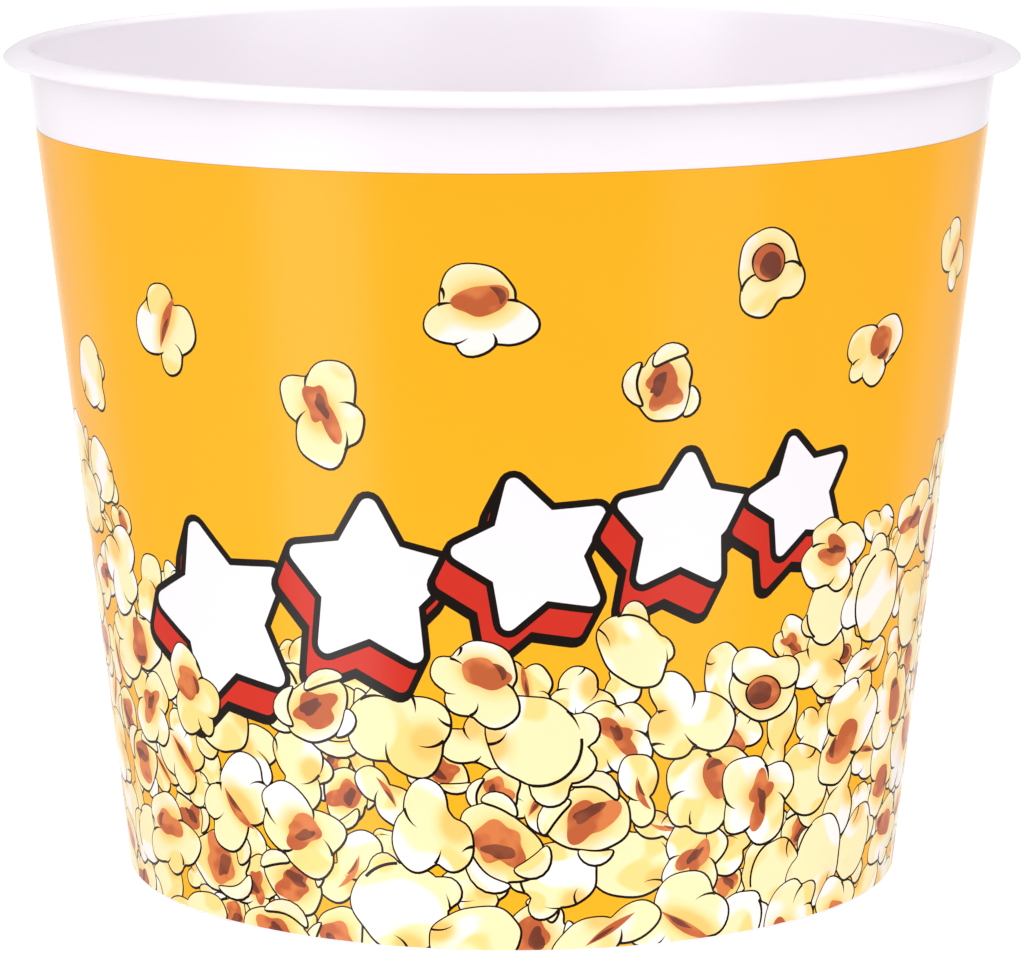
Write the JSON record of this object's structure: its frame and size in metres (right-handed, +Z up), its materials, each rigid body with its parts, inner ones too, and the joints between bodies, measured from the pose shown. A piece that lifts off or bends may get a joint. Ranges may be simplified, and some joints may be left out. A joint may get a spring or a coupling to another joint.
{
  "type": "popcorn bucket",
  "caption": "Round tapered plastic tub with a wide mouth, a turned-out lip and a printed label wrapped round the side, for serving popcorn.",
  "frame": {"origin": "centre of the flat foot of the stand ring, on the surface the bucket stands on", "axes": "+Z up along the bucket's round axis, -Y towards the front of the printed label, +X to the right of someone facing that front"},
  "size_m": [0.2158, 0.2158, 0.1778],
  "materials": {
    "white_plastic": "semi-gloss moulded polypropylene",
    "label_film": "glossy printed film fused to the wall"
  },
  "bodies": {
    "root": {"bucket": "white_plastic"}
  },
  "joints": []
}
